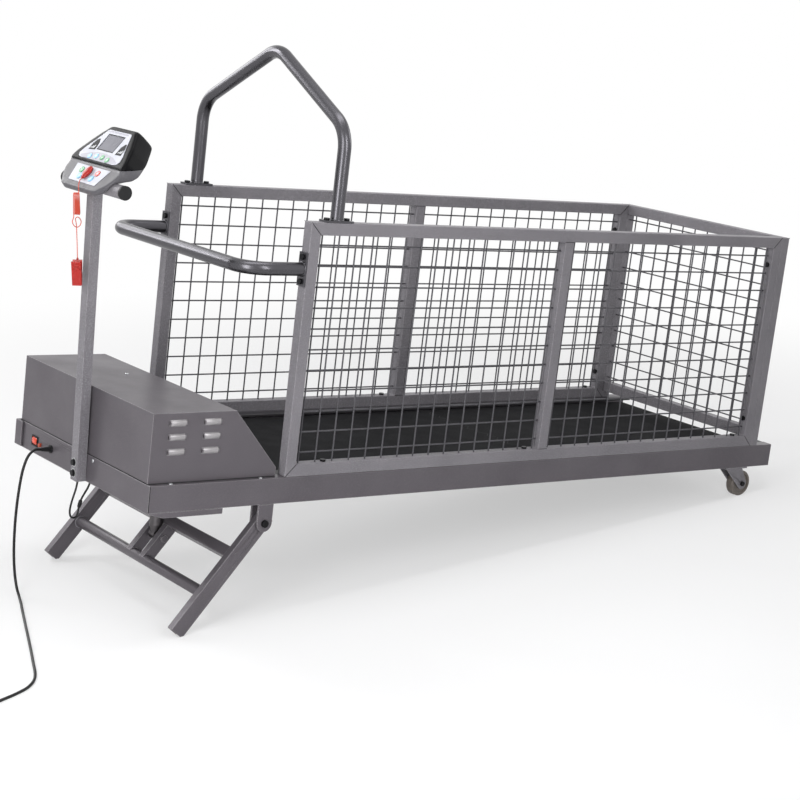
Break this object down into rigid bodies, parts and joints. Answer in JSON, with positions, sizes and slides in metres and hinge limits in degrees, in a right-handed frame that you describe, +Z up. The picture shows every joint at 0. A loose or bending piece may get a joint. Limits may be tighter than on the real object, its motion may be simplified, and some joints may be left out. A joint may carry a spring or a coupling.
{
  "type": "dog treadmill",
  "caption": "Electric dog treadmill with a mesh-sided cage over a belt deck, folding front legs, rear transport wheels, guard arch, handlebar and a console on a column.",
  "frame": {"origin": "floor level under the middle of the box around the treadmill without its cords", "axes": "+X from the console to the rear of the deck, +Y to the switch side, +Z up"},
  "size_m": [2.6507, 0.7643, 1.3204],
  "materials": {
    "frame_coat": "textured grey powder coat",
    "sheet_coat": "satin grey powder coat",
    "tube_coat": "smooth gunmetal coat",
    "deck_wood": "coated deck board",
    "belt_rubber": "fine matte grain",
    "bright_steel": "turned",
    "bolt_steel": "black oxide",
    "motor_coat": "satin black",
    "rod_alloy": "drawn tube",
    "board_resin": "circuit board",
    "wheel_nylon": "moulded nylon",
    "black_plastic": "moulded, fine grain",
    "shell_plastic": "charcoal moulded",
    "overlay": "satin silver film",
    "screen": "grey display window",
    "key_blue": "satin film key",
    "key_green": "satin film key",
    "key_red": "satin film key",
    "red_plastic": "moulded",
    "red_cord": "woven cord",
    "cord_rubber": "smooth sheath"
  },
  "bodies": {
    "chassis": {"side_rails": "sheet_coat", "cross_members": "frame_coat", "front_pan": "frame_coat", "deck_board": "deck_wood", "foot_strips": "sheet_coat", "running_belt": "belt_rubber", "roller_axles": "bright_steel", "drive_motor": "motor_coat", "drive_belt": "belt_rubber", "control_board": "board_resin", "lift_bridge": "frame_coat", "hood": "sheet_coat", "leg_brackets": "frame_coat", "axle_bolts": "bolt_steel", "wheel_brackets": "frame_coat", "side_panels": "frame_coat", "rear_panel": "frame_coat", "mesh_near": "frame_coat", "mesh_far": "frame_coat", "mesh_rear": "frame_coat", "guard_arch": "tube_coat", "handlebar": "tube_coat", "frame_bolts": "bolt_steel", "column": "frame_coat", "crossbar": "tube_coat", "crossbar_caps": "black_plastic", "console_shell": "shell_plastic", "console_face": "overlay", "display": "screen", "power_switch": "black_plastic", "cord_gland": "black_plastic", "power_cord": "cord_rubber", "power_coil": "cord_rubber", "plug": "black_plastic", "signal_cable": "cord_rubber"},
    "front_roller": {"front_roller": "bright_steel"},
    "rear_roller": {"rear_roller": "bright_steel"},
    "motor_rotor": {"motor_pulley": "bright_steel"},
    "leg_frame": {"lift_legs": "frame_coat", "leg_cross_tubes": "frame_coat", "leg_lugs": "frame_coat"},
    "actuator": {"actuator_body": "motor_coat"},
    "actuator_rod": {"actuator_tube": "rod_alloy"},
    "wheel_near": {"wheel_near": "wheel_nylon"},
    "wheel_far": {"wheel_far": "wheel_nylon"},
    "key_and_lanyard": {"safety_key": "red_plastic", "lanyard": "red_cord", "lanyard_hank": "red_cord", "clip_body": "red_plastic"},
    "clip_jaw": {"clip_jaw": "red_plastic"},
    "power_rocker": {"power_rocker": "red_plastic"},
    "reset_button": {"reset_button": "black_plastic"},
    "upper_key_1": {"upper_key_1": "key_blue"},
    "upper_key_2": {"upper_key_2": "key_blue"},
    "upper_key_3": {"upper_key_3": "key_green"},
    "upper_key_4": {"upper_key_4": "key_green"},
    "start_key": {"start_key": "key_green"},
    "stop_key": {"stop_key": "key_red"},
    "slower_key": {"slower_key": "key_blue"},
    "faster_key": {"faster_key": "key_blue"}
  },
  "joints": [
    {"name": "leg_fold", "type": "hinge", "parent": "chassis", "child": "leg_frame", "pos_m": [-0.7201, 0, 0.23761], "axis": [0, 1, 0], "range_deg": [0, 34]},
    {"name": "actuator_swing", "type": "hinge", "parent": "chassis", "child": "actuator", "pos_m": [-0.78722, 0, 0.45301], "axis": [0, 1, 0], "range_deg": [0, 11.25]},
    {"name": "actuator_slide", "type": "slide", "parent": "actuator", "child": "actuator_rod", "axis": [0.1243, 0, 0.9922], "range_m": [0, 0.0653]},
    {"name": "front_roller_spin", "type": "hinge", "parent": "chassis", "child": "front_roller", "pos_m": [-0.73274, 0, 0.31786], "axis": [0, 1, 0], "continuous": true},
    {"name": "rear_roller_spin", "type": "hinge", "parent": "chassis", "child": "rear_roller", "pos_m": [1.00509, 0, 0.1119], "axis": [0, 1, 0], "continuous": true},
    {"name": "motor_spin", "type": "hinge", "parent": "chassis", "child": "motor_rotor", "pos_m": [-0.91793, 0, 0.35269], "axis": [0, 1, 0], "continuous": true},
    {"name": "wheel_near_roll", "type": "hinge", "parent": "chassis", "child": "wheel_near", "pos_m": [0.94291, -0.3115, 0.0375], "axis": [0, 1, 0], "continuous": true},
    {"name": "wheel_far_roll", "type": "hinge", "parent": "chassis", "child": "wheel_far", "pos_m": [0.94291, 0.3115, 0.0375], "axis": [0, 1, 0], "continuous": true},
    {"name": "upper_key_1_press", "type": "slide", "parent": "chassis", "child": "upper_key_1", "axis": [0.6863, 0, -0.7273], "range_m": [0, 0.0008], "stiffness_N_per_m": 600, "springref_m": -0.0004},
    {"name": "upper_key_2_press", "type": "slide", "parent": "chassis", "child": "upper_key_2", "axis": [0.6863, 0, -0.7273], "range_m": [0, 0.0008], "stiffness_N_per_m": 600, "springref_m": -0.0004},
    {"name": "upper_key_3_press", "type": "slide", "parent": "chassis", "child": "upper_key_3", "axis": [0.6863, 0, -0.7273], "range_m": [0, 0.0008], "stiffness_N_per_m": 600, "springref_m": -0.0004},
    {"name": "upper_key_4_press", "type": "slide", "parent": "chassis", "child": "upper_key_4", "axis": [0.6863, 0, -0.7273], "range_m": [0, 0.0008], "stiffness_N_per_m": 600, "springref_m": -0.0004},
    {"name": "start_key_press", "type": "slide", "parent": "chassis", "child": "start_key", "axis": [0.6863, 0, -0.7273], "range_m": [0, 0.0008], "stiffness_N_per_m": 600, "springref_m": -0.0004},
    {"name": "stop_key_press", "type": "slide", "parent": "chassis", "child": "stop_key", "axis": [0.6863, 0, -0.7273], "range_m": [0, 0.0008], "stiffness_N_per_m": 600, "springref_m": -0.0004},
    {"name": "slower_key_press", "type": "slide", "parent": "chassis", "child": "slower_key", "axis": [0.6863, 0, -0.7273], "range_m": [0, 0.0008], "stiffness_N_per_m": 600, "springref_m": -0.0004},
    {"name": "faster_key_press", "type": "slide", "parent": "chassis", "child": "faster_key", "axis": [0.6863, 0, -0.7273], "range_m": [0, 0.0008], "stiffness_N_per_m": 600, "springref_m": -0.0004},
    {"name": "safety_key_pull", "type": "slide", "parent": "chassis", "child": "key_and_lanyard", "axis": [-0.6863, 0, 0.7273], "range_m": [0, 0.025]},
    {"name": "clip_open", "type": "hinge", "parent": "key_and_lanyard", "child": "clip_jaw", "pos_m": [-1.05293, -0.04955, 0.832], "axis": [-0.788, 0.6157, 0], "range_deg": [0, 14], "stiffness_Nm_per_rad": 0.05, "springref_deg": -8.59},
    {"name": "power_rock", "type": "hinge", "parent": "chassis", "child": "power_rocker", "pos_m": [-1.03279, 0.2296, 0.35221], "axis": [0, 1, 0], "range_deg": [-10, 10]},
    {"name": "reset_press", "type": "slide", "parent": "chassis", "child": "reset_button", "axis": [0.9931, 0, -0.1177], "range_m": [0, 0.003], "stiffness_N_per_m": 500, "springref_m": -0.001}
  ],
  "couplings": [
    {"joint": "actuator_swing", "follows": "leg_fold", "ratio": 0.33},
    {"joint": "actuator_slide", "follows": "leg_fold", "m_per_rad": 0.10985},
    {"joint": "rear_roller_spin", "follows": "front_roller_spin", "ratio": 1},
    {"joint": "motor_spin", "follows": "front_roller_spin", "ratio": 2.1429}
  ]
}
